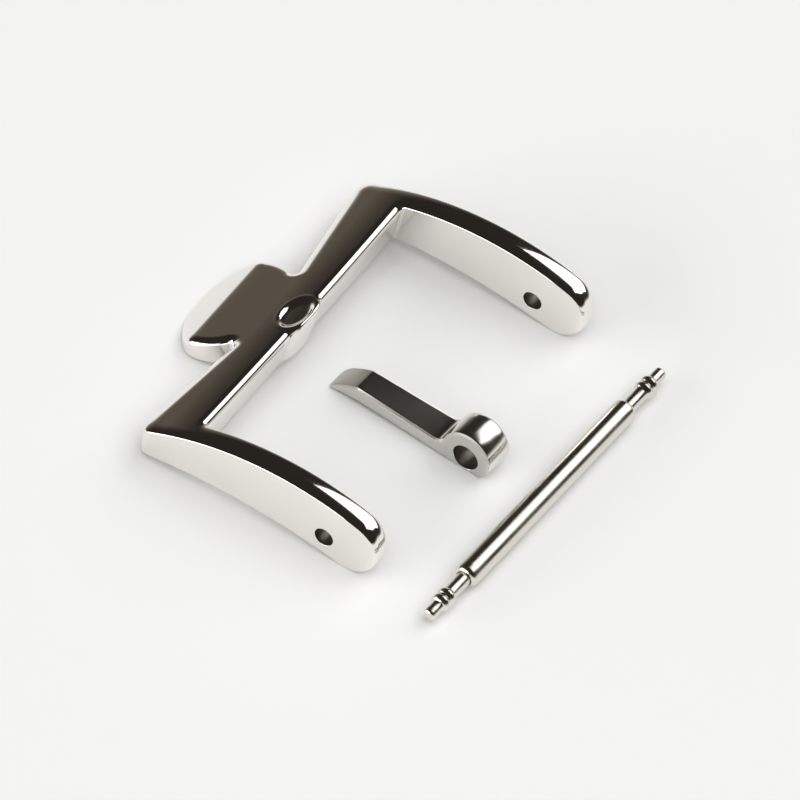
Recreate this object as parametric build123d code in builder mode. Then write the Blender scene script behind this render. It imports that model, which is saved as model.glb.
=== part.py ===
from build123d import *

import math
import os

# Watch tang buckle, taken apart: the frame stands on a table with its tang and its spring bar
# lying loose between and in front of its ears.
# The origin is midway between the two ear holes, on their axis. +X runs along that axis to the
# right ear, +Y from the front bar to the ends of the ears, and +Z up from the table.
# All lengths are in millimetres and all angles in degrees.

# Sizes shared by the pieces
strap_width = 18.0
overrun = 1.0

# Sizes of the frame, seen from above
ear_wall = 1.25
ear_reach = 2.95
hole_diameter = 1.04
bar_setback = 8.08
bar_depth_middle = 1.35
bar_depth_side = 2.70
corner_radius = 0.70

# Sizes of the frame, seen from the side, with heights measured from the table
hole_height = 1.37
crown_height = 3.98
crown_radius = 16.2
crown_setback = 2.75
arch_height = 0.732
arch_radius = 30.7
arch_setback = 5.42
ear_end_radius = 1.55
edge_round = 0.40

# Sizes of the front petal
petal_root_width = 3.4
petal_width = 6.8
petal_reach = 13.7
petal_end_depth = 1.70
petal_brow_run = 1.40
petal_slope_lead = 0.17
petal_foot_lead = 0.57
petal_tip_thickness = 0.15

# Sizes of the round seat for the tang's tip
seat_radius = 0.95
seat_depth = 0.20
seat_middle_setback = 8.35

# Sizes of the tang
tang_reach = 8.05
tang_eye_width = 1.80
tang_tip_width = 1.50
eye_radius = 1.42
eye_rise = 0.15
eye_bottom_wall = 0.15
eye_running_gap = 0.075
eye_throat_radius = 0.65
shank_thickness = 0.89
tip_bend_run = 1.40
tip_underside_run = 2.40
tip_droop = 0.25
tip_thickness = 0.13
tip_corner_radius = 0.35

# Where the tang lies: the middle of its eye, and its turn about the vertical
tang_eye_x = 0.45
tang_eye_y = 2.68
tang_turn = 2.8

# Sizes of the spring bar
tube_diameter = 1.30
tube_length = 14.2
tube_bore_diameter = 0.94
mouth_diameter = 0.82
mouth_length = 0.25
tube_shoulder_radius = 0.20
tip_running_gap = 0.03
head_stop_gap = 0.02
head_length = 1.50
neck_reach = 1.30
flange_diameter = 1.00
flange_length = 0.425
pivot_diameter = 0.68
pivot_length = 0.95
pivot_round = 0.15

# Sizes of the coil spring inside the tube
spring_wire_diameter = 0.16
spring_turns = 22
spring_side_gap = 0.04
spring_end_gap = 0.02

# Where the spring bar lies: the middle of its tube, and its turn about the vertical
spring_bar_x = 0.69
spring_bar_y = 6.93
spring_bar_turn = 2.3

os.makedirs("parts", exist_ok=True)


def write(piece, name):
    """Label a finished piece and write it to its own STEP file."""
    piece.part.label = name
    export_step(piece.part, f"parts/{name}.step")


def arc_height(y, crest_y, crest_z, radius):
    """Height at y of an arc that is level at its crest: the circle's height over its centre."""
    return crest_z - radius + math.sqrt(radius**2 - (y - crest_y) ** 2)


# Lines that the frame and its petal share
inner_half = strap_width / 2
outer_half = inner_half + ear_wall
table_z = -hole_height
crown_y = -crown_setback
crown_z = table_z + crown_height
arch_y = -arch_setback
arch_z = table_z + arch_height
bar_y = -bar_setback
root_y = bar_y - bar_depth_middle


def crown_at(y):
    """Height of the frame's top over the ears and the bar."""
    return arc_height(y, crown_y, crown_z, crown_radius)


def arch_at(y):
    """Height of the frame's underside below the ears and the bar."""
    return arc_height(y, arch_y, arch_z, arch_radius)


# From a little in front of the bar's middle the crown runs on to the petal at the slope it has there
slope_y = root_y - petal_slope_lead
slope_z = crown_at(slope_y)
slope_grade = math.tan(math.asin((crown_y - slope_y) / crown_radius))
prism_base = Plane.XY.offset(table_z - overrun)
prism_height = crown_height + 2 * overrun


def slope_at(y):
    """Height of the sloping top in front of the crown."""
    return slope_z - (slope_y - y) * slope_grade


# Petal: the outline from above has a flaring side, an arc that is level with +Y where the petal
# is widest, and a half ellipse as its end. Seen from the side it falls to a thin tip on the table.
petal_root_half = petal_root_width / 2
petal_half = petal_width / 2
petal_flare = petal_half - petal_root_half
tip_y = -petal_reach
brow_y = tip_y + petal_brow_run
widest_y = tip_y + petal_end_depth
petal_run = root_y - widest_y
side_radius = (petal_run**2 + petal_flare**2) / (2 * petal_flare)
side_angle = math.degrees(math.atan2(petal_run, side_radius - petal_flare))
heart_y = bar_y - bar_depth_middle / 2
heart_middle_y = (heart_y + slope_y) / 2
foot_y = root_y - petal_foot_lead
foot_middle_y = (heart_y + foot_y) / 2

with BuildPart() as petal:
    with BuildSketch(prism_base):
        with BuildLine():
            EllipticalCenterArc(
                (0, widest_y), petal_half, petal_end_depth, start_angle=270, arc_size=90
            )
            side = CenterArc((petal_half - side_radius, widest_y), side_radius, 0, side_angle)
            Polyline(side @ 1, (petal_root_half, heart_y), (0, heart_y))
            mirror(about=Plane.YZ)
        make_face()
    extrude(amount=prism_height)
    with BuildSketch(Plane.YZ.offset(-outer_half)):
        with BuildLine():
            ThreePointArc(
                (heart_y, crown_at(heart_y)),
                (heart_middle_y, crown_at(heart_middle_y)),
                (slope_y, slope_z),
            )
            Polyline(
                (slope_y, slope_z),
                (brow_y, slope_at(brow_y)),
                (tip_y, table_z + petal_tip_thickness),
                (tip_y, table_z),
                (foot_y, arch_at(foot_y)),
            )
            ThreePointArc(
                (foot_y, arch_at(foot_y)),
                (foot_middle_y, arch_at(foot_middle_y)),
                (heart_y, arch_at(heart_y)),
            )
            Line((heart_y, arch_at(heart_y)), (heart_y, crown_at(heart_y)))
        make_face()
    extrude(amount=2 * outer_half, mode=Mode.INTERSECT)


# Frame: a U from above, whose front bar deepens towards its corners, cut to the side outline and
# rounded along its top edges. It takes in the petal, the ear holes and the seat.
def over_the_middle(edge):
    """True for an edge along the top of the frame, whose middle is over mid thickness."""
    middle = edge @ 0.5
    return middle.Z > (crown_at(middle.Y) + arch_at(middle.Y)) / 2


front_y = bar_y - bar_depth_side
back_y = front_y - overrun
seat_y = -seat_middle_setback
seat_ball_radius = (seat_radius**2 + seat_depth**2) / (2 * seat_depth)
seat_ball_z = crown_at(seat_y) - seat_depth + seat_ball_radius

with BuildPart() as buckle_frame:
    with BuildSketch(prism_base) as plan:
        with BuildLine():
            Polyline(
                (0, root_y),
                (outer_half, front_y),
                (outer_half, ear_reach + overrun),
                (inner_half, ear_reach + overrun),
                (inner_half, bar_y),
                (0, bar_y),
            )
            mirror(about=Plane.YZ)
        make_face()
        fillet(plan.vertices().group_by(Axis.Y)[0], corner_radius)
    extrude(amount=prism_height)
    with BuildSketch(Plane.YZ.offset(-outer_half - overrun)) as profile:
        with BuildLine():
            ear_top = (ear_reach, crown_at(ear_reach))
            ear_foot = (ear_reach, arch_at(ear_reach))
            ThreePointArc(ear_top, (crown_y, crown_z), (slope_y, slope_z))
            Polyline((slope_y, slope_z), (back_y, slope_at(back_y)), (back_y, arch_at(back_y)))
            ThreePointArc((back_y, arch_at(back_y)), (arch_y, arch_z), ear_foot)
            Line(ear_foot, ear_top)
        make_face()
        fillet(profile.vertices().group_by(Axis.X)[-1], ear_end_radius)
    extrude(amount=2 * (outer_half + overrun), mode=Mode.INTERSECT)
    lengthwise = buckle_frame.edges().filter_by(Axis.Z, reverse=True).filter_by(Axis.X, reverse=True)
    inner_bar_edges = buckle_frame.faces().filter_by(Axis.Y).sort_by(Axis.Y)[0].edges().filter_by(Axis.X)
    fillet((lengthwise + inner_bar_edges).filter_by(over_the_middle), edge_round)
    add(petal.part)
    with BuildSketch(Plane.YZ.offset(-outer_half - overrun)):
        Circle(hole_diameter / 2)
    extrude(amount=2 * (outer_half + overrun), mode=Mode.SUBTRACT)
    with Locations((0, seat_y, seat_ball_z)):
        Sphere(seat_ball_radius, mode=Mode.SUBTRACT)

write(buckle_frame, "buckle_frame")

# Tang: it lies on the point of its drooping tip and on the heel of its eye, so it is pitched up a
# little towards the tip. Its side outline has the bore's middle at zero, +x to the eye's end.
# The eye's outer circle sits a little higher than the bore, so the wall is thickest on top.
eye_bore_radius = tube_diameter / 2 + eye_running_gap
shank_bottom = -eye_bore_radius - eye_bottom_wall
shank_top = shank_bottom + shank_thickness
tip_bottom = shank_bottom - tip_droop
eye_heel = math.sqrt(eye_radius**2 - (shank_bottom - eye_rise) ** 2)
tang_pitch = math.atan2(tip_droop, eye_heel + tang_reach)
tang_eye_z = table_z + eye_heel * math.sin(tang_pitch) - shank_bottom * math.cos(tang_pitch)
turn = math.radians(tang_turn)
eye_axis = Vector(math.cos(turn), -math.sin(turn), 0)
level_along = Vector(math.sin(turn), math.cos(turn), 0)
tang_along = level_along * math.cos(tang_pitch) - Vector(0, 0, math.sin(tang_pitch))
eye_middle = Vector(tang_eye_x, tang_eye_y, tang_eye_z)
tang_side = Plane(origin=eye_middle, x_dir=tang_along, z_dir=eye_axis)
tang_plan = Plane(origin=eye_middle, x_dir=tang_along, z_dir=tang_side.y_dir)
bend_x = tip_bend_run - tang_reach
bend_fall = shank_top - tip_bottom - tip_thickness
bend_middle_shares = (0.45, 0.32)
bend_middle = (
    bend_x - tip_bend_run * bend_middle_shares[0],
    shank_top - bend_fall * bend_middle_shares[1],
)
throat_x = -math.sqrt(eye_radius**2 - (shank_top - eye_rise) ** 2)

with BuildPart() as tang:
    with BuildSketch(tang_side) as side_outline:
        with BuildLine():
            Line((throat_x, shank_top), (bend_x, shank_top))
            ThreePointArc(
                (bend_x, shank_top), bend_middle, (-tang_reach, tip_bottom + tip_thickness)
            )
            Line((-tang_reach, tip_bottom + tip_thickness), (-tang_reach, tip_bottom))
            under = Line((eye_heel, shank_bottom), (tip_underside_run - tang_reach, shank_bottom))
            TangentArc(under @ 1, (-tang_reach, tip_bottom), tangent=under % 1)
            ThreePointArc((eye_heel, shank_bottom), (0, eye_rise + eye_radius), (throat_x, shank_top))
        make_face()
        fillet(side_outline.vertices().sort_by_distance((throat_x, shank_top))[0], eye_throat_radius)
        Circle(eye_bore_radius, mode=Mode.SUBTRACT)
    extrude(amount=tang_eye_width / 2, both=True)
    with BuildSketch(tang_plan) as tang_outline:
        with BuildLine():
            Polyline(
                (eye_radius, tang_eye_width / 2),
                (-eye_radius, tang_eye_width / 2),
                (-tang_reach, tang_tip_width / 2),
                (-tang_reach, -tang_tip_width / 2),
                (-eye_radius, -tang_eye_width / 2),
                (eye_radius, -tang_eye_width / 2),
                close=True,
            )
        make_face()
        fillet(tang_outline.vertices().group_by(Axis.X)[0], tip_corner_radius)
    extrude(amount=2 * eye_radius, both=True, mode=Mode.INTERSECT)

write(tang, "tang")

# Spring bar: its pieces are turned shapes about one axis, drawn with +x along that axis
bar_turn = math.radians(spring_bar_turn)
bar_axis = Vector(math.cos(bar_turn), -math.sin(bar_turn), 0)
bar_middle = Vector(spring_bar_x, spring_bar_y, table_z + tube_diameter / 2)
turning_axis = Axis(bar_middle, bar_axis)
tube_half = tube_length / 2
tube_radius = tube_diameter / 2
bore_radius = tube_bore_diameter / 2
mouth_radius = mouth_diameter / 2


def turning_plane(along):
    """A plane through the bar's axis, at the end of the tube that the vector points to."""
    return Plane(bar_middle + along * tube_half, x_dir=along, z_dir=along.cross(Vector(0, 0, 1)))


with BuildPart() as spring_bar_tube:
    with BuildSketch(turning_plane(bar_axis)) as tube_outline:
        with BuildLine():
            Polyline(
                (0, mouth_radius),
                (0, tube_radius),
                (-tube_length, tube_radius),
                (-tube_length, mouth_radius),
                (mouth_length - tube_length, mouth_radius),
                (mouth_length - tube_length, bore_radius),
                (-mouth_length, bore_radius),
                (-mouth_length, mouth_radius),
                close=True,
            )
        make_face()
        fillet(tube_outline.vertices().group_by(Axis.Y)[-1], tube_shoulder_radius)
    revolve(axis=turning_axis)

write(spring_bar_tube, "spring_bar_tube")

# Tips: each has a head kept in by the tube's mouth, a neck that slides in the mouth, two rounded
# flanges side by side with a groove where they meet, and a pivot with a rounded end
head_radius = bore_radius - tip_running_gap
neck_radius = mouth_radius - tip_running_gap
flange_radius = flange_diameter / 2
pivot_radius = pivot_diameter / 2
head_face = -mouth_length - head_stop_gap
head_end = head_face - head_length
flange_starts = (neck_reach, neck_reach + flange_length)
pivot_start = flange_starts[-1] + flange_length

for side_name, outward in (("left", bar_axis * -1), ("right", bar_axis)):
    with BuildPart() as spring_bar_tip:
        with BuildSketch(turning_plane(outward)) as tip_outline:
            with Locations((head_end, 0)):
                Rectangle(head_length, head_radius, align=(Align.MIN, Align.MIN))
                Rectangle(pivot_start - head_end, neck_radius, align=(Align.MIN, Align.MIN))
            with Locations((pivot_start, 0)):
                Rectangle(pivot_length, pivot_radius, align=(Align.MIN, Align.MIN))
            pivot_rim = tip_outline.vertices().group_by(Axis.X)[-1].sort_by(Axis.Y)[-1]
            fillet(pivot_rim, pivot_round)
            for start in flange_starts:
                with BuildLine():
                    flange_base = Line((start + flange_length, neck_radius), (start, neck_radius))
                    ThreePointArc(
                        flange_base @ 1, (start + flange_length / 2, flange_radius), flange_base @ 0
                    )
                make_face()
        revolve(axis=turning_axis)
    write(spring_bar_tip, f"spring_bar_tip_{side_name}")

# Coil spring: one unbroken round wire wound between the two heads, clear of the tube's bore
wire_radius = spring_wire_diameter / 2
coil_radius = bore_radius - spring_side_gap - wire_radius
coil_height = tube_length + 2 * (head_end - spring_end_gap - wire_radius)
coil_pitch = coil_height / spring_turns
coil_start = bar_middle - bar_axis * (coil_height / 2)
print("least gap between the coil spring's turns", round(coil_pitch - spring_wire_diameter, 3))

with BuildPart() as spring_bar_coil_spring:
    with BuildLine() as coil:
        Helix(coil_pitch, coil_height, coil_radius, center=coil_start, direction=bar_axis)
    with BuildSketch(Plane(coil.line @ 0, z_dir=coil.line % 0)):
        Circle(wire_radius)
    sweep(path=coil.line, is_frenet=True)

write(spring_bar_coil_spring, "spring_bar_coil_spring")
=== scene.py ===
# %% [markdown]
# # Watch tang buckle, dressed for its portrait
# The buckle lies taken apart on a white table: a polished steel frame, the tang that bites into
# the strap, and the spring bar that would hold both together. The sizes below are those of the
# solid model, in millimetres. The scene itself is in metres, so every mesh is divided by 1000
# as it is made.

import math

import bmesh
import bpy
import numpy as np
from mathutils import Matrix, Vector


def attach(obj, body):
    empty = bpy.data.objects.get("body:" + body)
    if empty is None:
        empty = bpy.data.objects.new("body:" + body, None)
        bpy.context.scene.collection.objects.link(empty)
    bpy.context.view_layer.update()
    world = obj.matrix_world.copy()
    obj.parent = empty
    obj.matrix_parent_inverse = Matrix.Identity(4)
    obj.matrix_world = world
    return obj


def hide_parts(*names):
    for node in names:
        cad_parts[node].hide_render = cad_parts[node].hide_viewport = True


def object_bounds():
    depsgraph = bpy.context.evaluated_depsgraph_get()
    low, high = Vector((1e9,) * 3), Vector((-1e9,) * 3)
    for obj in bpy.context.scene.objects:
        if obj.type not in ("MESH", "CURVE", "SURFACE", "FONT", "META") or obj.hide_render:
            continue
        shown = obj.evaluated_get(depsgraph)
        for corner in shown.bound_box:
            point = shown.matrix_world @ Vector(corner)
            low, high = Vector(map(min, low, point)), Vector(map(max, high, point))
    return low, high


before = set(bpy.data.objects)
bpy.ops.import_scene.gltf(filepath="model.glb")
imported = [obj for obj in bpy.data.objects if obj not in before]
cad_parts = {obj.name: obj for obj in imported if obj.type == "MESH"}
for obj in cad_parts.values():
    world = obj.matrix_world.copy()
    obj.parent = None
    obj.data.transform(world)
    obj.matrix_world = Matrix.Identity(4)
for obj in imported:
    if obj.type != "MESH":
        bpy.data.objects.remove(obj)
cad_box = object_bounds()
MM = 0.001
TABLE = -1.37
for end_name, corner in zip(("solid model from", "to"), cad_box):
    print(end_name, [round(v / MM, 2) for v in corner], "mm")

# %% [markdown]
# ## Helpers for surfaces
# Every piece is a surface worked out with numpy. A grid of points becomes quads, and the quads
# are joined where their points meet. Two helpers do that for all pieces, so that the cells below
# only have to say where the points are.


# %% helpers: quads from a grid, and a mesh from points and faces
WELD = 2e-5


def grid_quads(rows, columns, start=0, loop_rows=False, loop_columns=False):
    """Quads of a grid whose point (i, j) has the number start + i * columns + j.

    Each quad joins (i, j), (i, j+1), (i+1, j+1) and (i+1, j). A looped direction also joins its
    last line to its first.
    """
    i = np.arange(rows if loop_rows else rows - 1)
    j = np.arange(columns if loop_columns else columns - 1)
    i, j = [a.ravel() for a in np.meshgrid(i, j, indexing="ij")]
    down, across = (i + 1) % rows, (j + 1) % columns
    corners = [(i, j), (i, across), (down, across), (down, j)]
    return np.stack([start + a * columns + b for a, b in corners], axis=1)


def make_piece(name, points, faces):
    """A smooth mesh object from points in millimetres and quads given as four point numbers.

    Points that coincide to within WELD are welded, which closes seams and poles, and faces that a
    weld leaves without area are dropped. At the end every face is turned to point outwards.
    """
    points, faces = np.asarray(points), np.asarray(faces)
    keys = np.round(points / WELD).astype(np.int64)
    _, first, number = np.unique(keys, axis=0, return_index=True, return_inverse=True)
    faces = number.reshape(-1)[faces]
    same = faces == np.roll(faces, -1, axis=1)
    quads = faces[same.sum(axis=1) == 0]
    pinched = same.sum(axis=1) == 1
    triangles = faces[pinched][~same[pinched]].reshape(-1, 3)
    mesh = bpy.data.meshes.new(name)
    mesh.from_pydata(points[first] * MM, [], quads.tolist() + triangles.tolist())
    shell = bmesh.new()
    shell.from_mesh(mesh)
    bmesh.ops.recalc_face_normals(shell, faces=shell.faces)
    open_edges = sum(not edge.is_manifold for edge in shell.edges)
    shell.to_mesh(mesh)
    shell.free()
    mesh.shade_smooth()
    piece = bpy.data.objects.new(name, mesh)
    bpy.context.scene.collection.objects.link(piece)
    print(name, len(mesh.polygons), "faces,", open_edges, "open edges")
    return piece


def arc_points(centre, radius, start, end, steps=7):
    """Points on a circle about centre, from the angle start to the angle end, in degrees."""
    angle = np.radians(np.linspace(start, end, steps))
    return np.stack([centre[0] + radius * np.cos(angle), centre[1] + radius * np.sin(angle)], 1)


# %% [markdown]
# ## Frame
# The real frame is one investment casting, ground and buffed: two ears, a bar across the front
# and a rounded petal before the bar. Its top follows a long arch, its edges are rolled over by
# the buffing wheel, and its sides are upright, but for the bar's inner face, which leans. So it is
# drawn as a plan, as seen from above, with one height for the top and one for the underside at
# each place. The plan is cut into three grids that share their border points: the middle with the
# petal, and an arm on each side.

# %% frame: the arch as seen from the side; an arc is (y and z of its crest, radius)
CROWN = (-2.75, TABLE + 3.98, 16.2)
ARCH = (-5.42, TABLE + 0.732, 30.7)
BAR_Y, GAP_HALF, EAR_WALL, EAR_REACH = -8.08, 9.0, 1.25, 2.95
OUTER = GAP_HALF + EAR_WALL
ROOT_Y = BAR_Y - 1.35
SLOPE_Y, BROW_Y, TIP_Y, WIDEST_Y = ROOT_Y - 0.17, -12.3, -13.7, -12.0
NOSE = 1.55
CREASE = 0.03


def arc_height(y, arc):
    """Height of a circle's upper side at y, where arc is (y and z of its crest, radius)."""
    return arc[1] - arc[2] + np.sqrt(arc[2] ** 2 - (y - arc[0]) ** 2)


SLOPE_Z = float(arc_height(SLOPE_Y, CROWN))
GRADE = math.tan(math.asin((CROWN[0] - SLOPE_Y) / CROWN[2]))
BROW_Z = SLOPE_Z - (SLOPE_Y - BROW_Y) * GRADE
END_GRADE = (BROW_Z - TABLE - 0.15) / (BROW_Y - TIP_Y)


def top_height(y):
    """The crown's arc, then a straight slope, then the petal's steeper end, eased at the brow.

    The brow is a soft minimum: m - sqrt(g * g + CREASE * CREASE) / 2 for the mean m and gap g of
    the two planes. CREASE sets how soft it is.
    """
    crown = arc_height(np.maximum(y, SLOPE_Y), CROWN) - np.maximum(SLOPE_Y - y, 0) * GRADE
    end = BROW_Z - (BROW_Y - y) * END_GRADE
    return (crown + end) / 2 - np.sqrt((crown - end) ** 2 + CREASE**2) / 2


FOOT_Y = ROOT_Y - 0.57
FOOT_Z = float(arc_height(FOOT_Y, ARCH))


def under_height(y):
    """The arch's arc, and in front of it a straight run down to the table at the petal's tip."""
    run = TABLE + (FOOT_Z - TABLE) * (y - TIP_Y) / (FOOT_Y - TIP_Y)
    return np.where(y > FOOT_Y, arc_height(np.maximum(y, FOOT_Y), ARCH), run)


print("brow at", round(BROW_Z - TABLE, 2), "mm above the table")

# %% frame: the plan's outline, right half
FRONT_Y, FRONT_DROP = ROOT_Y - 0.14, 0.1376
FRONT = np.array([1.0, -FRONT_DROP]) / math.hypot(1, FRONT_DROP)
FRONT_IN = np.array([-FRONT[1], FRONT[0]])
PETAL_HALF, PETAL_ROOT = 3.4, 1.7
VALLEY, CORNER, INNER_CORNER = 0.25, 0.70, 0.22
run, flare = ROOT_Y - WIDEST_Y, PETAL_HALF - PETAL_ROOT
SIDE_R = (run**2 + flare**2) / (2 * flare)
SIDE_C = np.array([PETAL_HALF - SIDE_R, WIDEST_Y])


def between(start, end, steps):
    """Points evenly spaced on a straight line, without its last."""
    share = np.linspace(0, 1, steps, endpoint=False)[:, None]
    return np.asarray(start) + share * (np.asarray(end) - np.asarray(start))


# the valley's small circle touches the front line and the petal's side from outside
offset_start = np.array([0.0, FRONT_Y]) - VALLEY * FRONT_IN
to_side = SIDE_C - offset_start
along_front = to_side @ FRONT
across_front = to_side @ FRONT_IN
valley_c = offset_start + FRONT * (along_front + math.sqrt((SIDE_R + VALLEY) ** 2 - across_front**2))
touch_side = SIDE_C + (valley_c - SIDE_C) * SIDE_R / (SIDE_R + VALLEY)
side_angle = math.degrees(math.atan2(*(touch_side - SIDE_C)[::-1]))
front_angle = math.degrees(math.atan2(FRONT_IN[1], FRONT_IN[0]))
valley_mid = (side_angle + 180 + front_angle) / 2

end_turn = np.radians(np.linspace(0, 90, 36))
petal_end_y = WIDEST_Y - (WIDEST_Y - TIP_Y) * np.sin(end_turn)
petal_end = np.stack([PETAL_HALF * np.cos(end_turn), petal_end_y], axis=1)
petal_edge = np.concatenate(
    [
        arc_points(valley_c, VALLEY, valley_mid, side_angle + 180, 8)[:-1],
        arc_points(SIDE_C, SIDE_R, side_angle, 0, 34)[:-1],
        petal_end,
    ]
)
corner_c = np.array([OUTER - CORNER, 0.0])
corner_c[1] = FRONT_Y - FRONT_DROP * corner_c[0] + CORNER / FRONT[0]
front_touch = corner_c - CORNER * FRONT_IN
front_touch_angle = math.degrees(math.atan2(*(-FRONT_IN)[::-1]))
valley_top = arc_points(valley_c, VALLEY, valley_mid, front_angle, 9)
middle_half = float(petal_edge[0, 0])
print("valley at", np.round(petal_edge[0], 2), "petal half width", PETAL_HALF, "mm")


# %% frame: how far a place is from the nearest edge, and how far that edge is rolled over
def edge_distance(points, line, sizes):
    """Distance from each point to a polyline, with the roll's width and height at that place.

    On each segment the nearest place is at the share clip((p - a) . (b - a) / |b - a|^2, 0, 1).
    The points are handled in parts of about 3000, which keeps the tables of gaps small.
    """
    start, step = line[:-1], line[1:] - line[:-1]
    length = (step**2).sum(axis=1)
    found = []
    for part in np.array_split(points.reshape(-1, 2), max(1, points.size // (2 * 3000))):
        gap = part[:, None] - start
        share = np.clip((gap * step).sum(axis=2) / length, 0, 1)
        away = np.hypot(*np.moveaxis(gap - share[..., None] * step, 2, 0))
        nearest = away.argmin(axis=1)
        pick = np.arange(len(part)), nearest
        blend = sizes[nearest] + share[pick][:, None] * (sizes[nearest + 1] - sizes[nearest])
        found.append(np.column_stack([away[pick], blend]))
    return np.moveaxis(np.concatenate(found).reshape(*points.shape[:-1], 3), -1, 0)


def rolled_edge(distance, width, height):
    """How far a rolled edge has fallen, as a quarter of an ellipse.

    height * (1 - sqrt(1 - s^2)), where s is 1 at the edge and falls evenly to 0 at the width.
    """
    short = np.clip(1 - distance / width, 0, 1)
    return height * (1 - np.sqrt(1 - short**2))


def sizes_along(place, stations, widths, heights):
    """The roll's width and height, each read off its own table at the same stations."""
    return np.stack([np.interp(place, stations, widths), np.interp(place, stations, heights)], 1)


# each roll is (width, height): the tables below follow it along the outline's x or y
BAR_ROLL, ARM_ROLL, SEAT_ROLL = (0.49, 0.49), (0.62, 0.16), (0.20, 0.20)
NOSE_ROLL, UNDER_ROLL = (0.40, 0.22), (0.09, 0.09)
corner_arc = arc_points(corner_c, CORNER, front_touch_angle, 0, 24)
front_run = between(valley_top[-1], front_touch, 60)
outer_line = np.concatenate([valley_top[:-1], front_run, corner_arc, [[OUTER, 8.0]]])
outer_sizes = sizes_along(
    outer_line[:, 0],
    [2.0, 3.4, 8.2, 9.4, OUTER - 0.05],
    [0.45, 0.50, 0.55, 0.60, ARM_ROLL[0]],
    [0.28, 0.32, 0.32, 0.26, ARM_ROLL[1]],
)
petal_sizes = sizes_along(
    petal_edge[:, 1],
    [TIP_Y, -13.0, WIDEST_Y, -10.6],
    [0.10, 0.34, 0.52, 0.50],
    [0.05, 0.16, 0.34, 0.34],
)
whole_line = np.concatenate([petal_edge[::-1], outer_line[1:]])
whole_sizes = np.concatenate([petal_sizes[::-1], outer_sizes[1:]])
whole_line = np.concatenate([(whole_line * [-1, 1])[:0:-1], whole_line])
whole_sizes = np.concatenate([whole_sizes[:0:-1], whole_sizes])


# %% frame: the bar's inner face, which leans out over the gap
def bulge(x):
    """The bar's inner face swells by 0.28 mm round the seat: 0.28 * exp(-(x / 1.12)^6)."""
    return 0.28 * np.exp(-((x / 1.12) ** 6))


def leaned(x, y):
    """Where the top's point over (x, y) lies: moved towards the ears near the bar's inner edge.

    The move is 0.37 - 0.12 * (x / 9)^2, times a smooth hump that is 1 on the inner edge, 0 from
    0.9 mm in front of it and 0 from 1.6 mm behind it.
    """
    move = 0.37 - 0.12 * np.minimum(np.abs(x) / GAP_HALF, 1) ** 2
    hump = 1 - np.maximum(np.clip((BAR_Y - y) / 0.9, 0, 1), np.clip((y - BAR_Y) / 1.6, 0, 1))
    return y + move * hump**2 * (3 - 2 * hump)


long_x = np.linspace(2.2, GAP_HALF - INNER_CORNER, 16)[:-1]
inner_x = np.concatenate([np.linspace(0, 2.0, 40), long_x])
inner_arc = arc_points((GAP_HALF - INNER_CORNER, BAR_Y + INNER_CORNER), INNER_CORNER, -90, 0, 12)
arm_line = np.stack([np.full(8, GAP_HALF), np.linspace(BAR_Y + INNER_CORNER, 8.0, 9)[1:]], 1)
inner_line = np.concatenate([np.stack([inner_x, BAR_Y + bulge(inner_x)], 1), inner_arc, arm_line])
stations = [1.15, 1.50, GAP_HALF - INNER_CORNER, GAP_HALF]
inner_rolls = zip(SEAT_ROLL, BAR_ROLL, BAR_ROLL, ARM_ROLL)
inner_sizes = sizes_along(inner_line[:, 0], stations, *inner_rolls)
inner_under = np.concatenate([(inner_line * [-1, 1])[:0:-1], inner_line])
inner_sizes = np.concatenate([inner_sizes[:0:-1], inner_sizes])
inner_top = np.stack([inner_under[:, 0], leaned(*inner_under.T)], 1)

# %% frame: the seat for the tang's tip
SEAT_Y, SEAT_FLOOR, SEAT_RIM, SEAT_DEPTH, SEAT_LONG = -8.33, 0.52, 0.77, 0.19, 1.60
RIM_BEAD, RIM_BEAD_OUT, RIM_BEAD_WIDTH = 0.012, 0.04, 0.06


def seat(x, y):
    """A flat-floored oval recess, 1.6 times as long in x as in y, with a low bead round its rim.

    Its wall climbs from the floor's edge to the rim by a smooth step, 3 c^2 - 2 c^3. The bead is
    RIM_BEAD * exp(-((q - SEAT_RIM - RIM_BEAD_OUT) / RIM_BEAD_WIDTH)^2).
    """
    q = np.hypot(x / SEAT_LONG, y - SEAT_Y)
    climb = np.clip((q - SEAT_FLOOR) / (SEAT_RIM - SEAT_FLOOR), 0, 1)
    wall = SEAT_DEPTH * (climb**2 * (3 - 2 * climb) - 1)
    return wall + RIM_BEAD * np.exp(-(((q - SEAT_RIM - RIM_BEAD_OUT) / RIM_BEAD_WIDTH) ** 2))


def top_point(x, y):
    """Top of the frame over (x, y): arch, less the rolled edges, with the seat sunk into it."""
    y = leaned(x, y)
    plan = np.stack([x, y], axis=-1)
    outside = rolled_edge(*edge_distance(plan, whole_line, whole_sizes))
    inside = rolled_edge(*edge_distance(plan, inner_top, inner_sizes))
    return np.stack([x, y, top_height(y) - outside - inside + seat(x, y)], axis=-1)


def under_point(x, y):
    """Underside at (x, y): the lower arch, lifted where its edges are broken.

    The break is UNDER_ROLL wide, and thins to 0.3 of that over the last 1.2 mm to the petal's tip.
    """
    plan = np.stack([x, y], axis=-1)
    outside = edge_distance(plan, whole_line, whole_sizes)[0]
    inside = edge_distance(plan, inner_under, inner_sizes)[0]
    thick = np.clip((y - TIP_Y) / 1.2, 0.3, 1.0) * UNDER_ROLL[0]
    lift = rolled_edge(np.minimum(outside, inside), thick, thick)
    return np.stack([x, y, under_height(y) + lift], -1)


# %% frame: the middle grid, from the bar's inner edge to the petal's tip
def crowded(steps):
    """Shares from 0 to 1 that crowd towards both ends: (1 - cos(t)) / 2 for t from 0 to pi."""
    return (1 - np.cos(np.linspace(0, math.pi, steps))) / 2


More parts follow.
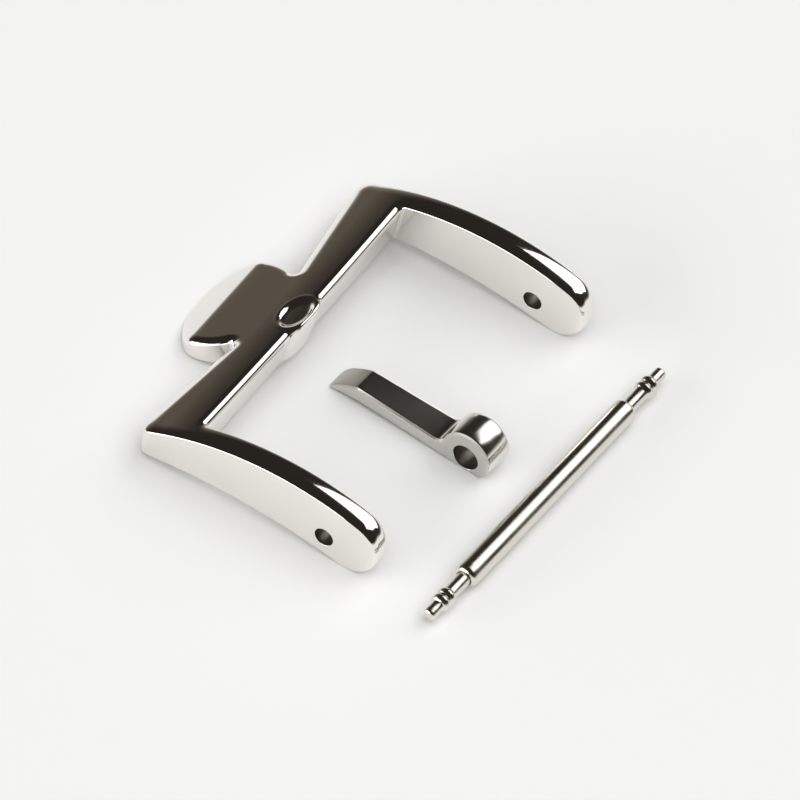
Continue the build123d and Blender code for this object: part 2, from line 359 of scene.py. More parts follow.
ACROSS_SHARES, COLUMNS = crowded(40), 145
valley_y = float(petal_edge[0, 1])
first_line_y = BAR_Y + ACROSS_SHARES * (valley_y - BAR_Y)
across = 2 * crowded(COLUMNS) - 1
row_y = np.concatenate([first_line_y, petal_edge[1:, 1]])
row_half = np.concatenate([np.full(len(first_line_y), middle_half), petal_edge[1:, 0]])
middle_x = row_half[:, None] * across
# the seat's bulge fades from the bar's inner edge to the line between the valleys
sag = np.clip((row_y - valley_y) / (BAR_Y - valley_y), 0, 1) ** 1.5
middle_y = row_y[:, None] + bulge(middle_x) * sag[:, None]
middle_top, middle_under = top_point(middle_x, middle_y), under_point(middle_x, middle_y)
petal_rows = np.arange(len(first_line_y) - 1, len(row_y))
print("middle grid", middle_top.shape[:2])

# %% frame: the right arm's stations on the bar and round the corner
BAR_STEPS, CORNER_STEPS = 44, 34
bar_run = np.linspace(valley_top[-1, 0], inner_arc[0, 0], BAR_STEPS)[1:]
bar_x = np.concatenate([valley_top[:, 0], bar_run])
bar_front = np.concatenate([valley_top[:, 1], FRONT_Y - FRONT_DROP * bar_x[len(valley_top) :]])
corner_path = np.concatenate(
    [
        between((bar_x[-1], bar_front[-1]), front_touch, 30),
        arc_points(corner_c, CORNER, front_touch_angle, 0, 40)[:-1],
        between((OUTER, corner_c[1]), (OUTER, BAR_Y + INNER_CORNER), 30),
        [[OUTER, BAR_Y + INNER_CORNER]],
    ]
)
path_length = np.concatenate([[0], np.cumsum(np.hypot(*np.diff(corner_path, axis=0).T))])
share = np.linspace(0, path_length[-1], CORNER_STEPS + 1)[1:]
corner_out = np.stack([np.interp(share, path_length, corner_path[:, k]) for k in (0, 1)], 1)
corner_in = arc_points(inner_arc[0] + [0, INNER_CORNER], INNER_CORNER, -90, 0, CORNER_STEPS + 1)[1:]
arm_in = np.concatenate([np.stack([bar_x, BAR_Y + bulge(bar_x)], 1), corner_in])[:, None]
arm_out = np.concatenate([np.stack([bar_x, bar_front], 1), corner_out])[:, None]
arm_plan = arm_in + ACROSS_SHARES[:, None] * (arm_out - arm_in)
arm_xy = np.moveaxis(arm_plan, -1, 0)
arm_top, arm_under = top_point(*arm_xy), under_point(*arm_xy)
print("bar and corner grid", arm_top.shape[:2])

# %% frame: the ear, with its round nose
WALL_STEPS = np.concatenate([[0, 0.01, 0.04], np.linspace(0.1, 0.9, 13), [0.96, 0.99, 1]])
nose_y = EAR_REACH - NOSE
top_nose_z = CROWN[1] - CROWN[2] + math.sqrt((CROWN[2] - NOSE) ** 2 - (nose_y - CROWN[0]) ** 2)
under_nose_z = ARCH[1] - ARCH[2] + math.sqrt((ARCH[2] + NOSE) ** 2 - (nose_y - ARCH[0]) ** 2)
top_turn = math.asin((nose_y - CROWN[0]) / (CROWN[2] - NOSE))
under_turn = math.asin((nose_y - ARCH[0]) / (ARCH[2] + NOSE))


def side_curve(straight_y, arc, turn, centre_z, way, steps):
    """Side view of the top (way 1) or underside (way -1): its arc to the nose, then the nose.

    The nose is nose_y + 1.55 * sin(t), centre_z + way * 1.55 * cos(t). Returns y, z and the
    outward direction at each point, evenly spaced.
    """
    touch = nose_y + way * NOSE * math.sin(turn)
    y = np.linspace(straight_y, touch, 200)[:-1]
    slant = (y - arc[0]) / arc[2]
    body = np.stack([y, arc_height(y, arc), way * slant, way * np.sqrt(1 - slant**2)], 1)
    t = np.linspace(way * turn, math.pi / 2, 200)
    out_y, out_z = np.sin(t), way * np.cos(t)
    tip = np.stack([nose_y + NOSE * out_y, centre_z + NOSE * out_z, out_y, out_z], 1)
    curve = np.concatenate([body, tip])
    length = np.concatenate([[0], np.cumsum(np.hypot(*np.diff(curve[:, :2], axis=0).T))])
    at = np.linspace(0, length[-1], steps)
    return np.stack([np.interp(at, length, curve[:, k]) for k in range(4)], 1)


def straight_side(y, arc, way):
    """Side view of the ear's long part: y, z and the outward direction, straight up or down."""
    return np.stack([y, arc_height(y, arc), np.zeros(len(y)), np.full(len(y), float(way))], 1)


NOSE_FROM = 1.0
straight = np.linspace(BAR_Y + INNER_CORNER, NOSE_FROM, 66)[1:-1]
top_side = straight_side(leaned(GAP_HALF, straight), CROWN, 1)
# the outward direction starts straight up, as on the corner, and turns to the arc's own
turn_in = np.linspace(0, 1, len(straight))[:, None] ** 2
slant = (top_side[:, :1] - CROWN[0]) / CROWN[2] * turn_in
top_side[:, 2:] = np.concatenate([slant, np.sqrt(1 - slant**2)], 1)
top_end = side_curve(NOSE_FROM, CROWN, top_turn, top_nose_z, 1, 40)
under_end = side_curve(NOSE_FROM, ARCH, under_turn, under_nose_z, -1, 40)
top_side = np.concatenate([top_side, top_end])
under_side = np.concatenate([straight_side(straight, ARCH, -1), under_end])
ear_x = GAP_HALF + ACROSS_SHARES * EAR_WALL


def ear_grid(side, sizes):
    """Each station's points across the ear, moved in along the station's normal at the edges."""
    width, height = sizes[:, :1], sizes[:, 1:]
    fall = rolled_edge(ear_x - GAP_HALF, width, height) + rolled_edge(OUTER - ear_x, width, height)
    y = side[:, :1] - fall * side[:, 2:3]
    z = side[:, 1:2] - fall * side[:, 3:4]
    return np.stack([np.broadcast_to(ear_x, y.shape), y, z], axis=-1)


station = np.arange(len(top_side))
round_nose = [len(straight), len(top_side) - 1]
ear_top = ear_grid(top_side, sizes_along(station, round_nose, *zip(ARM_ROLL, NOSE_ROLL)))
ear_under = ear_grid(under_side, sizes_along(station, round_nose, *zip(UNDER_ROLL, NOSE_ROLL)))
arm_top, arm_under = np.concatenate([arm_top, ear_top]), np.concatenate([arm_under, ear_under])
NOSE_STEPS = WALL_STEPS[1:-1]
nose_side = np.zeros((len(NOSE_STEPS), 4))
nose_side[:, 0], nose_side[:, 2] = EAR_REACH, 1.0
nose_side[:, 1] = top_nose_z + NOSE_STEPS * (under_nose_z - top_nose_z)
nose_cap = ear_grid(nose_side, np.tile(NOSE_ROLL, (len(NOSE_STEPS), 1)))
print("ear", ear_top.shape[:2], "nose is", round(top_nose_z - under_nose_z + 2 * NOSE, 2), "mm high")

# %% frame: sides, with the hole through the ear
HOLE, HOLE_BLOCK = 0.52, 0.86
LIP, LIP_STEP = 0.035, 0.01


def wall_rows(top_line, under_line):
    """Rows of a wall between a line of top points and the line of points under it."""
    return top_line[:, None] + WALL_STEPS[:, None] * (under_line - top_line)[:, None]


class Shell:
    """Points and quads that are gathered, grid by grid, into one closed skin."""

    def __init__(self):
        self.points, self.faces, self.count = [], [], 0

    def grid(self, points, skip=None):
        """Add a grid of points with its quads. skip marks quads to leave out, as (rows, columns)."""
        rows, columns = points.shape[:2]
        quads = grid_quads(rows, columns, self.count)
        if skip is not None:
            quads = quads[~skip.ravel()]
        self.points.append(points.reshape(-1, 3))
        self.faces.append(quads)
        self.count += rows * columns

    def ring(self, rings):
        """Add closed rings of points, each joined to the next."""
        rows, columns = rings.shape[:2]
        self.points.append(rings.reshape(-1, 3))
        self.faces.append(grid_quads(rows, columns, self.count, False, True))
        self.count += rows * columns


def ear_wall(shell, wall, face_x, inward):
    """A side of the ear, with a round hole let into it; gives back the hole's ring of points.

    A block of quads within HOLE_BLOCK of the hole's middle is left out. Rings lead from the block's
    border to a circle at the same angles, y = r * cos(angle), z = r * sin(angle), and a small
    chamfer, LIP wide and deep, turns inwards.
    """
    ys, zs = wall[..., 1], wall[..., 2]
    rows = np.where(np.abs(ys[:, 0]) < HOLE_BLOCK)[0]
    columns = np.where(np.abs(zs[rows[len(rows) // 2]]) < HOLE_BLOCK)[0]
    i0, i1, k0, k1 = rows[0], rows[-1], columns[0], columns[-1]
    skip = np.zeros((wall.shape[0] - 1, wall.shape[1] - 1), bool)
    skip[i0:i1, k0:k1] = True
    shell.grid(wall, skip)
    block = wall[i0 : i1 + 1, k0 : k1 + 1]
    border = np.concatenate([block[:-1, 0], block[-1, :-1], block[:0:-1, -1], block[0, :0:-1]])
    angle = np.arctan2(border[:, 2], border[:, 1])

    def circle(radius, x):
        return np.stack([np.full(len(angle), x), radius * np.cos(angle), radius * np.sin(angle)], 1)

    rim = circle(HOLE + LIP, face_x)
    fan = border + np.linspace(0, 0.94, 5)[:, None, None] * (rim - border)
    lip = circle(HOLE + LIP_STEP, face_x + 0.8 * LIP_STEP * inward)
    throat = circle(HOLE, face_x + LIP * inward)
    shell.ring(np.concatenate([fan, [rim, lip, throat]]))
    return throat


# %% frame: gather the grids and weld them
def mirrored(points):
    """The same points on the other side of the middle plane."""
    return points * [-1, 1, 1]


frame_skin = Shell()
frame_skin.grid(middle_top)
frame_skin.grid(middle_under)
frame_skin.grid(wall_rows(middle_top[0], middle_under[0]))
for edge in (0, -1):
    frame_skin.grid(wall_rows(middle_top[petal_rows, edge], middle_under[petal_rows, edge]))
arm = Shell()
arm.grid(arm_top)
arm.grid(arm_under)
arm.grid(np.concatenate([arm_top[-1:], nose_cap, arm_under[-1:]]))
ear_from = len(arm_plan) - 1
throats = []
for edge, face_x, inward in ((0, GAP_HALF, 1), (-1, OUTER, -1)):
    arm.grid(wall_rows(arm_top[: ear_from + 1, edge], arm_under[: ear_from + 1, edge]))
    wall = wall_rows(arm_top[ear_from:, edge], arm_under[ear_from:, edge])
    throats.append(ear_wall(arm, wall, face_x, inward))
bore = throats[0] + np.linspace(0, 1, 8)[:, None, None] * (throats[1] - throats[0])
arm.ring(bore)
arm_points, arm_faces = np.concatenate(arm.points), np.concatenate(arm.faces)
for points in (arm_points, mirrored(arm_points)):
    frame_skin.faces.append(arm_faces + frame_skin.count)
    frame_skin.points.append(points)
    frame_skin.count += len(points)
frame_points, frame_faces = np.concatenate(frame_skin.points), np.concatenate(frame_skin.faces)
buckle = make_piece("buckle_body", frame_points, frame_faces)

# %% [markdown]
# ## Tang
# The real tang is stamped from thick strip: a flat shank, a tip that bends down to lie in the
# frame's seat, and a bored eye at the other end. But for a slight crown round the eye, its outline
# in side view never changes across its width, so both sides are the same drawing, set apart by
# the width at each place. The drawing is two grids, one along the shank and one of rings round
# the bore, and a strip of quads follows the outline from one side to the other.

# %% tang: outline in side view, from the eye's centre
TANG_TURN = math.radians(2.8)
EYE_CROWN = 0.05
EYE, EYE_RISE, EYE_BORE = 1.42 - EYE_CROWN, 0.15, 0.725
SHANK_LOW, SHANK_HIGH = -0.875, 0.015
TIP_X, BEND_X, RISE_X, TIP_LOW, TIP_HIGH = -8.23, -6.65, -4.60, -1.13, -1.04
THROAT = 0.65
HEEL_X = math.sqrt(EYE**2 - (SHANK_LOW - EYE_RISE) ** 2)
# the solid tang stands on its heel and its tip, and so it pitches by the tip's drop
SOLID_HEEL, SOLID_TIP, SOLID_DROP = 0.9827, 8.05, 0.25
TANG_PITCH = math.atan2(SOLID_DROP, SOLID_HEEL + SOLID_TIP)
throat_y = SHANK_HIGH + THROAT
throat_c = np.array([-math.sqrt((EYE + THROAT) ** 2 - (throat_y - EYE_RISE) ** 2), throat_y])
RISE_R = ((RISE_X - TIP_X) ** 2 + (SHANK_LOW - TIP_LOW) ** 2) / (2 * (SHANK_LOW - TIP_LOW))


def circle_through(a, b, c):
    """Centre and radius of the circle through three points, where two bisectors cross.

    The centre solves 2 (b - a) . centre = b . b - a . a, and the same with c for b.
    """
    a, b, c = np.array([a, b, c])
    centre = np.linalg.solve(2 * np.stack([b - a, c - a]), [b @ b - a @ a, c @ c - a @ a])
    return centre, math.hypot(*(centre - a))


BEND_MIDDLE = (-7.35, -0.335)
bend_c, bend_r = circle_through((BEND_X, SHANK_HIGH), BEND_MIDDLE, (TIP_X, TIP_HIGH))


def shank_top(x):
    """The shank's flat top, and the bend's arc from BEND_X on, joined by a soft minimum."""
    arc = bend_c[1] + np.sqrt(bend_r**2 - (np.minimum(x, bend_c[0]) - bend_c[0]) ** 2)
    return (arc + SHANK_HIGH) / 2 - np.sqrt((arc - SHANK_HIGH) ** 2 + CREASE**2) / 2


def shank_under(x):
    """The shank's flat underside, then an arc that touches it and ends at the tip."""
    return SHANK_LOW - RISE_R + np.sqrt(RISE_R**2 - np.minimum(x - RISE_X, 0) ** 2)


EYE_HALF, TIP_HALF, NEAR_ROUND, FAR_ROUND = 0.90, 0.75, 0.15, 0.40


def half_width(x, corner):
    """An even taper from EYE_HALF to TIP_HALF at the tip, whose corner a quarter circle rounds."""
    straight_part = TIP_HALF + (EYE_HALF - TIP_HALF) * np.clip((x - TIP_X) / (-EYE - TIP_X), 0, 1)
    inset = np.clip(corner - (x - TIP_X), 0, corner)
    return straight_part - corner + np.sqrt(corner**2 - inset**2)


# %% tang: the two grids of its side
BEND_BAND = 0.12
shank_x = np.concatenate(
    [
        TIP_X + FAR_ROUND * (1 - np.cos(np.radians(np.linspace(0, 90, 20))))[:-1],
        np.linspace(TIP_X + FAR_ROUND, BEND_X - BEND_BAND, 14)[:-1],
        np.linspace(BEND_X - BEND_BAND, BEND_X + BEND_BAND, 13)[:-1],
        np.linspace(BEND_X + BEND_BAND, throat_c[0], 48),
    ]
)
low, high = shank_under(shank_x)[:, None], shank_top(shank_x)[:, None]
shank_y = low + crowded(22) * (high - low)
shank_plan = np.stack([np.broadcast_to(shank_x[:, None], shank_y.shape), shank_y], -1)
heel_angle = math.degrees(math.atan2(SHANK_LOW - EYE_RISE, HEEL_X))
throat_angle = math.degrees(math.atan2(throat_y - EYE_RISE, throat_c[0]))
# both lines crowd towards the heel's corner, by the same steps
NEAR_HEEL = np.array([0, 0.012, 0.04, 0.1])
base_x = np.concatenate([HEEL_X - NEAR_HEEL, np.linspace(HEEL_X - 0.1, throat_c[0], 30)[1:]])
long_arc = np.linspace(throat_angle, heel_angle + 6, 90)
eye_arc = np.radians(np.concatenate([long_arc, heel_angle + 60 * NEAR_HEEL[:0:-1] / EYE]))
throat_arc = arc_points(throat_c, THROAT, -90, throat_angle - 180, 16)[:-1]
eye_loop = np.concatenate(
    [
        shank_plan[-1:, -1],
        throat_arc[1:],
        np.stack([EYE * np.cos(eye_arc), EYE_RISE + EYE * np.sin(eye_arc)], 1),
        np.stack([base_x, np.full(len(base_x), SHANK_LOW)], 1)[:-1],
        shank_plan[-1, :-1],
    ]
)
eye_part = len(eye_loop) - shank_plan.shape[1] + 1
tang_outline = np.concatenate([eye_loop[:eye_part], shank_plan[::-1, 0], shank_plan[:, -1]])
outline_sizes = sizes_along(
    tang_outline[:, 0],
    [TIP_X, -7.5, throat_c[0], -0.6],
    [0.05, 0.14, 0.14, 0.13],
    [0.04, 0.09, 0.09, 0.07],
)
bore_loop = EYE_BORE * eye_loop / np.hypot(*eye_loop.T)[:, None]
ring_plan = eye_loop + crowded(26)[:, None, None] * (bore_loop - eye_loop)
BORE_ROLL = 0.05


def side_of_tang(plan, way):
    """Points on one side: the half width, less the bevel along the outline and the bore's roll.

    The bevel is flat: height * (1 - distance / width) inside its width.
    """
    away, width, height = edge_distance(plan, tang_outline, outline_sizes)
    fall = height * np.clip(1 - away / width, 0, 1)
    bore_gap = np.maximum(np.hypot(plan[..., 0], plan[..., 1]) - EYE_BORE, 0)
    fall = np.maximum(fall, rolled_edge(bore_gap, BORE_ROLL, BORE_ROLL))
    half = half_width(plan[..., 0], NEAR_ROUND if way == 1 else FAR_ROUND)
    return np.concatenate([plan, (way * (half - fall))[..., None]], -1)


# %% tang: gather the grids, the crowned rim and the bore
tang_skin = Shell()
rims, bores = [], []
for way in (1, -1):
    shank, rings = side_of_tang(shank_plan, way), side_of_tang(ring_plan, way)
    tang_skin.grid(shank)
    tang_skin.ring(rings)
    shank_rim = [shank[::-1, 0], shank[0, 1:-1], shank[:-1, -1]]
    rims.append(np.concatenate([rings[0, :eye_part], *shank_rim]))
    bores.append(rings[-1])
# the eye's rim swells between the sides by crown * (1 - |2 t - 1|^3), and the crown falls to 0 over
# the last CROWN_FADE points at both ends of the eye's arc
CROWN_FADE = 12
from_eye = rims[0][:, :2] - [0, EYE_RISE]
number = np.arange(len(from_eye))
from_end = np.minimum(number - len(throat_arc), eye_part - len(base_x) - number)
crown = EYE_CROWN * np.clip(from_end / CROWN_FADE, 0, 1) ** 0.5
outward = np.column_stack([from_eye / np.hypot(*from_eye.T)[:, None], np.zeros(len(from_eye))])
t = np.linspace(0, 1, 21)[:, None, None]
swell = (1 - np.abs(2 * t - 1) ** 3) * crown[:, None] * outward
tang_skin.ring(rims[0] + t * (rims[1] - rims[0]) + swell)
tang_skin.ring(bores[0] + t * (bores[1] - bores[0]))

# the tang lies turned by TANG_TURN on the table and pitched by TANG_PITCH
level_x, level_y = math.sin(TANG_TURN), math.cos(TANG_TURN)
tilt_along, tilt_up = math.cos(TANG_PITCH), math.sin(TANG_PITCH)
tang_along = np.array([level_x * tilt_along, level_y * tilt_along, -tilt_up])
tang_up = np.array([level_x * tilt_up, level_y * tilt_up, tilt_along])
tang_across = np.cross(tang_along, tang_up)
EYE_CENTRE = np.array([0.45, 2.68, -0.468146])
local = np.concatenate(tang_skin.points)
tang_points = EYE_CENTRE + local @ np.stack([tang_along, tang_up, tang_across])
tang = make_piece("tang_body", tang_points, np.concatenate(tang_skin.faces))

# %% [markdown]
# ## Spring bar
# A real spring bar is turned on a lathe, so each of its parts is a profile spun about one axis.
# The profile is a list of points (distance along the axis, radius). Spinning it by formula keeps
# every ring exactly round, and a small arc at each corner catches the light as turned edges do.


# %% spring bar: where it lies, and a helper for turned shapes
BAR_TURN = math.radians(2.3)
BAR_AXIS = np.array([math.cos(BAR_TURN), -math.sin(BAR_TURN), 0.0])
TUBE_HALF, TUBE_RADIUS, TUBE_BORE, TUBE_ROUND = 7.1, 0.65, 0.47, 0.26
BAR_MIDDLE = np.array([0.69, 6.93, TABLE + TUBE_RADIUS])
UP = np.array([0.0, 0.0, 1.0])


def spin(profile, start, along, sides=96):
    """Rings of points: (a, r) goes to start + a * along + r * (cos(t) * side + sin(t) * UP)."""
    side = np.cross(UP, along)
    angle = np.linspace(0, 2 * math.pi, sides, endpoint=False)
    ring = np.cos(angle)[:, None] * side + np.sin(angle)[:, None] * UP
    return start + profile[:, :1, None] * along + profile[:, 1:, None] * ring


# %% spring bar tube: bored through, its ends crimped to a narrower mouth
MOUTH, CRIMP = 0.41, 0.25
tube_half_outline = np.concatenate(
    [
        [[-CRIMP, TUBE_BORE], [-CRIMP, MOUTH + 0.02], [-0.03, MOUTH]],
        arc_points((-0.03, MOUTH + 0.04), 0.04, -60, 20, 4),
        arc_points((-TUBE_ROUND, TUBE_RADIUS - TUBE_ROUND), TUBE_ROUND, 12, 90, 9),
    ]
)
right_end = tube_half_outline + [TUBE_HALF, 0]
left_end = (tube_half_outline * [-1, 1] - [TUBE_HALF, 0])[::-1]
bore_x = np.linspace(CRIMP - TUBE_HALF, TUBE_HALF - CRIMP, 24)[1:-1]
wall_x = np.linspace(TUBE_HALF - TUBE_ROUND, TUBE_ROUND - TUBE_HALF, 40)[1:-1]
bore_steps = np.stack([bore_x, np.full(len(bore_x), TUBE_BORE)], 1)
wall_steps = np.stack([wall_x, np.full(len(wall_x), TUBE_RADIUS)], 1)
tube_outline = np.concatenate([right_end, wall_steps, left_end, bore_steps])
tube_rings = spin(tube_outline, BAR_MIDDLE, BAR_AXIS)
tube_quads = grid_quads(*tube_rings.shape[:2], 0, True, True)
tube = make_piece("spring_bar_barrel", tube_rings.reshape(-1, 3), tube_quads)

# %% spring bar tips: head, neck, two beads and a pivot
BEAD, BEAD_FROM, BEAD_FOOT, BEAD_CREST = 0.48, 1.27, 0.385, 0.515
HEAD, NECK, PIVOT, PIVOT_END, PIVOT_ROUND = 0.44, 0.38, 0.34, 3.1, 0.16


def bead(start):
    """A rounded flange, BEAD long: its radius is foot + (crest - foot) * sin(pi * share) ** 0.8."""
    share = np.linspace(0, 1, 11)
    radius = BEAD_FOOT + (BEAD_CREST - BEAD_FOOT) * np.sin(np.pi * share) ** 0.8
    return np.stack([start + BEAD * share, radius], axis=1)


tip_outline = np.concatenate(
    [
        [[-1.77, 0.0], [-1.77, HEAD - 0.02], [-1.75, HEAD]],
        [[-0.29, HEAD], [-0.27, HEAD - 0.02], [-0.27, NECK]],
        [[0.0, NECK], [0.6, NECK], [1.24, NECK]],
        bead(BEAD_FROM),
        bead(BEAD_FROM + BEAD)[1:],
        [[2.24, PIVOT + 0.005], [2.26, PIVOT], [2.6, PIVOT]],
        arc_points((PIVOT_END - PIVOT_ROUND, PIVOT - PIVOT_ROUND), PIVOT_ROUND, 90, 0, 8),
        [[PIVOT_END, 0.1], [PIVOT_END, 0.0]],
    ]
)
tips = {}
for side_name, outward in (("left", -1.0), ("right", 1.0)):
    rings = spin(tip_outline, BAR_MIDDLE + outward * TUBE_HALF * BAR_AXIS, outward * BAR_AXIS, 72)
    quads = grid_quads(*rings.shape[:2], 0, False, True)
    tips[side_name] = make_piece(f"spring_bar_plunger_{side_name}", rings.reshape(-1, 3), quads)
print("tips reach", round(float(np.abs(rings[..., 0]).max()), 2), "mm out")

# %% [markdown]
# ## Finishes
# All pieces are the same warm grey steel. The frame is buffed to a mirror, with the faint hairlines
# that a buffing wheel leaves. The tang is a little duller. Its sides and bent tip are satin, and
# their darker tint is painted shade, for the shadowed table that the sides mirror and the shade
# under the tip.
# The spring bar keeps the fine rings of the lathe. The bores are rough, and their dark tint is
# painted shade for the shade inside the holes.


# %% polished steel
def polished_steel(name, tint, roughness, hairline_scale, hairline_depth, turn=0.0):
    """Steel whose tint and roughness vary by a soft noise, with a faint bump from a finer one.

    Both noises are on Object coordinates. hairline_scale stretches the finer one along an axis,
    hairline_depth is in millimetres, and turn lays the hairlines across a turned piece.
    """
    material = bpy.data.materials.new(name)
    material.use_nodes = True
    nodes, links = material.node_tree.nodes, material.node_tree.links
    shader = nodes["Principled BSDF"]
    shader.inputs["Metallic"].default_value = 1.0
    where = nodes.new("ShaderNodeTexCoord")
    stretch = nodes.new("ShaderNodeMapping")
    stretch.inputs["Rotation"].default_value = (0.0, 0.0, turn)
    stretch.inputs["Scale"].default_value = hairline_scale
    links.new(where.outputs["Object"], stretch.inputs["Vector"])
    hairs = nodes.new("ShaderNodeTexNoise")
    hairs.inputs["Scale"].default_value = 1000.0
    hairs.inputs["Detail"].default_value = 4.0
    links.new(stretch.outputs["Vector"], hairs.inputs["Vector"])
    haze = nodes.new("ShaderNodeTexNoise")
    haze.inputs["Scale"].default_value = 420.0
    haze.inputs["Detail"].default_value = 3.0
    links.new(where.outputs["Object"], haze.inputs["Vector"])
    colour = nodes.new("ShaderNodeMix")
    colour.data_type = "RGBA"
    colour.inputs["A"].default_value = (*[c * 0.96 for c in tint], 1)
    colour.inputs["B"].default_value = (*[min(c * 1.03, 1) for c in tint], 1)
    links.new(haze.outputs["Fac"], colour.inputs["Factor"])
    links.new(colour.outputs["Result"], shader.inputs["Base Color"])
    rough = nodes.new("ShaderNodeMapRange")
    rough.inputs["To Min"].default_value = roughness * 0.7
    rough.inputs["To Max"].default_value = roughness * 1.5
    links.new(haze.outputs["Fac"], rough.inputs["Value"])
    links.new(rough.outputs["Result"], shader.inputs["Roughness"])
    bump = nodes.new("ShaderNodeBump")
    bump.inputs["Strength"].default_value = 1.0
    bump.inputs["Distance"].default_value = hairline_depth * MM
    links.new(hairs.outputs["Fac"], bump.inputs["Height"])
    links.new(bump.outputs["Normal"], shader.inputs["Normal"])
    return material


frame_finish = polished_steel("frame_mirror_steel", (0.91, 0.885, 0.845), 0.07, (1, 1, 1), 0.0004)
tang_finish = polished_steel("tang_mirror_steel", (0.82, 0.80, 0.765), 0.16, (1, 1, 1), 0.0004)
# satin, and painted shade: the tint is darker than the tang's own, for the shadowed table that the
# sides mirror and the shade under the bent tip
satin_and_shade_finish = polished_steel("tang_satin_steel_painted_shade", (0.64, 0.625, 0.59), 0.36, (0.12, 1, 1), 0.0030)
bar_tint, lathe_rings = (0.80, 0.76, 0.69), (9, 0.05, 0.05)
bar_finish = polished_steel("bar_turned_steel", bar_tint, 0.21, lathe_rings, 0.0010, BAR_TURN)
# painted shade: a dark tint laid on the bores, where the holes fall into shade
bore_painted_shade = polished_steel("bore_painted_shade_steel", (0.22, 0.20, 0.175), 0.38, (1, 1, 1), 0.002)
spring_finish = polished_steel("spring_wire_steel", (0.6, 0.6, 0.6), 0.25, (1, 1, 1), 0.001)


def dress(piece, finish, body, slot, *nodes):
    """Give a piece its finish and its body, and hide the solid nodes that it stands for."""
    piece.data.materials.clear()
    piece.data.materials.append(finish)
    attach(piece, body)
    if nodes:
        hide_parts(*nodes)


def second_finish(piece, finish, chosen):
    """Give one more finish to the chosen faces, a yes or no for each face of the piece."""
    index = np.empty(len(chosen), np.int32)
    piece.data.polygons.foreach_get("material_index", index)
    piece.data.materials.append(finish)
    index[chosen] = len(piece.data.materials) - 1
    piece.data.polygons.foreach_set("material_index", index)
    print(piece.name, "has", int(chosen.sum()), "faces of", finish.name)


def face_vectors(piece, what):
    """The middle or the normal of every face, as rows of three numbers."""
    rows = np.empty(3 * len(piece.data.polygons))
    piece.data.polygons.foreach_get(what, rows)
    return rows.reshape(-1, 3)


def in_bore(piece, centre, axis, radius):
    """True for the faces whose middles lie within a radius of an axis, in millimetres."""
    off_axis = np.cross(face_vectors(piece, "center") / MM - centre, axis)
    return np.linalg.norm(off_axis, axis=1) < radius


dress(tube, bar_finish, "spring_bar", "bar_steel", "spring_bar_tube")
dress(tips["left"], bar_finish, "tip_left", "bar_steel", "spring_bar_tip_left")
dress(tips["right"], bar_finish, "tip_right", "bar_steel", "spring_bar_tip_right")
dress(buckle, frame_finish, "frame", "frame_steel", "buckle_frame")
dress(tang, tang_finish, "tang", "tang_steel", "tang")
# painted shade in the ear's hole
second_finish(buckle, bore_painted_shade, in_bore(buckle, [0.0, 0.0, 0.0], [1.0, 0.0, 0.0], HOLE + 0.015))
# the flat sides and the bent tip get the satin steel, whose darker tint is partly painted shade
flat_side = np.abs(face_vectors(tang, "normal") @ tang_across) > 0.85
bent_tip = (face_vectors(tang, "center") / MM - EYE_CENTRE) @ tang_along < BEND_X - 0.03
second_finish(tang, satin_and_shade_finish, flat_side | bent_tip)
# painted shade in the tang's bore
second_finish(tang, bore_painted_shade, in_bore(tang, EYE_CENTRE, tang_across, EYE_BORE + 0.0005))
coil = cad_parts["spring_bar_coil_spring"]
coil.data.materials.clear()
coil.data.materials.append(spring_finish)

# %% [markdown]
# ## Table, light and camera
# Polished steel shows only what it mirrors. Here that is a dark room overhead, a warm wall behind
# the frame, a pale horizon and two lamps like windows. A third lamp, the ceiling, lights the table
# and isn't mirrored.

# %% table
bpy.ops.mesh.primitive_plane_add(size=6.0, location=(0, 0, TABLE * MM))
table = bpy.context.object
table.name = "white_table"
paper = bpy.data.materials.new("white_paper")
paper.use_nodes = True
paper_shader = paper.node_tree.nodes["Principled BSDF"]
paper_shader.inputs["Base Color"].default_value = (0.9, 0.9, 0.89, 1)
paper_shader.inputs["Roughness"].default_value = 0.9
table.data.materials.append(paper)

# %% room: what the steel mirrors above the table
def steady_ramp(nodes, links, source, low, high):
    """A smooth step from 0 at low to 1 at high."""
    step = nodes.new("ShaderNodeMapRange")
    step.interpolation_type = "SMOOTHSTEP"
    step.inputs["From Min"].default_value = low
    step.inputs["From Max"].default_value = high
    links.new(source, step.inputs["Value"])
    return step.outputs["Result"]


DARK_ROOM, WARM_WALL = (0.022, 0.019, 0.016, 1), (0.22, 0.188, 0.15, 1)
PALE_HORIZON, WALL_AZIMUTH = (0.62, 0.60, 0.57, 1), math.radians(197)
world = bpy.data.worlds.new("studio")
bpy.context.scene.world = world
world.use_nodes = True
nodes, links = world.node_tree.nodes, world.node_tree.links
look = nodes.new("ShaderNodeTexCoord")
parts = nodes.new("ShaderNodeSeparateXYZ")
links.new(look.outputs["Generated"], parts.inputs["Vector"])
toward = nodes.new("ShaderNodeVectorMath")
toward.operation = "DOT_PRODUCT"
toward.inputs[1].default_value = (math.cos(WALL_AZIMUTH), math.sin(WALL_AZIMUTH), 0.0)
links.new(look.outputs["Generated"], toward.inputs[0])
lowness = steady_ramp(nodes, links, parts.outputs["Z"], 0.46, 0.0)
nearness = steady_ramp(nodes, links, toward.outputs["Value"], 0.2, 0.95)
share = nodes.new("ShaderNodeMath")
share.operation = "MULTIPLY"
links.new(lowness, share.inputs[0])
links.new(nearness, share.inputs[1])
room = nodes.new("ShaderNodeMix")
room.data_type = "RGBA"
room.inputs["A"].default_value = DARK_ROOM
room.inputs["B"].default_value = WARM_WALL
links.new(share.outputs["Value"], room.inputs["Factor"])
glow = nodes.new("ShaderNodeMix")
glow.data_type = "RGBA"
glow.inputs["B"].default_value = PALE_HORIZON
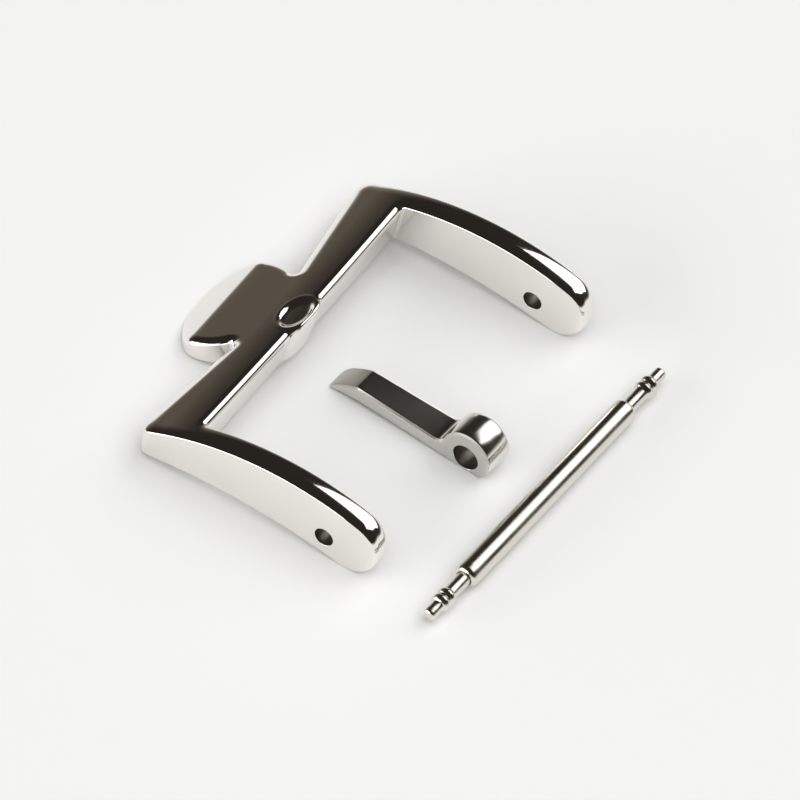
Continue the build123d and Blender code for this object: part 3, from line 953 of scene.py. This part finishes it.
links.new(steady_ramp(nodes, links, parts.outputs["Z"], 0.15, -0.02), glow.inputs["Factor"])
links.new(room.outputs["Result"], glow.inputs["A"])
links.new(glow.outputs["Result"], nodes["Background"].inputs["Color"])
nodes["Background"].inputs["Strength"].default_value = 1.0


# %% lamps: two windows, and a ceiling that the steel doesn't mirror
def window(name, azimuth, elevation, half_width, half_height, brightness, tint, mirrored_too=True):
    """A flat lamp, 1 m away from the buckle at the given angles, in degrees, facing it.

    Its half sizes are angles too, as seen from the buckle.

    A flat lamp of area A and radiance L gives the power pi * A * L. The steel mirrors it or not.
    """
    far = 1.0
    a, e = math.radians(azimuth), math.radians(elevation)
    outward = Vector((math.cos(e) * math.cos(a), math.cos(e) * math.sin(a), math.sin(e)))
    lamp = bpy.data.lights.new(name, "AREA")
    lamp.shape = "RECTANGLE"
    lamp.size = 2 * far * math.tan(math.radians(half_width))
    lamp.size_y = 2 * far * math.tan(math.radians(half_height))
    lamp.color = tint
    lamp.energy = math.pi * lamp.size * lamp.size_y * brightness
    holder = bpy.data.objects.new(name, lamp)
    sideways = Vector((-math.sin(a), math.cos(a), 0.0))
    turned = Matrix([sideways, outward.cross(sideways), outward]).transposed()
    holder.matrix_world = Matrix.Translation(outward * far) @ turned.to_4x4()
    holder.visible_glossy = mirrored_too
    bpy.context.scene.collection.objects.link(holder)


window("window_behind", 157, 40, 22, 20, 1.7, (1.0, 0.99, 0.975))
window("window_front", 322, 14, 34, 14, 3.6, (1.0, 0.99, 0.975))
window("ceiling", 60, 74, 38, 38, 1.65, (0.985, 0.992, 1.0), mirrored_too=False)

# %% camera
AZIMUTH, ELEVATION, ROLL = 0.459, 0.846, 0.141
DISTANCE, FOCAL_PIXELS, PICTURE_PIXELS, SENSOR_MM = 780.193, 15838.335, 800, 36.0
AIM = np.array([-0.616, -2.31, TABLE])
away = np.array(
    [
        math.cos(ELEVATION) * math.cos(AZIMUTH),
        math.cos(ELEVATION) * math.sin(AZIMUTH),
        math.sin(ELEVATION),
    ]
)
level = np.cross(-away, [0, 0, 1])
level /= np.linalg.norm(level)
upright = np.cross(level, -away)
right = level * math.cos(ROLL) + upright * math.sin(ROLL)
up = upright * math.cos(ROLL) - level * math.sin(ROLL)
camera_data = bpy.data.cameras.new("camera")
camera_data.sensor_width = SENSOR_MM
camera_data.lens = FOCAL_PIXELS / PICTURE_PIXELS * SENSOR_MM
camera_data.clip_start = 0.05
camera_data.clip_end = 20.0
camera = bpy.data.objects.new("camera", camera_data)
bpy.context.scene.collection.objects.link(camera)
turn = Matrix([right, up, away]).transposed()
camera.matrix_world = Matrix.Translation(Vector((AIM + DISTANCE * away) * MM)) @ turn.to_4x4()
bpy.context.scene.camera = camera
bpy.context.scene.view_settings.view_transform = "Standard"
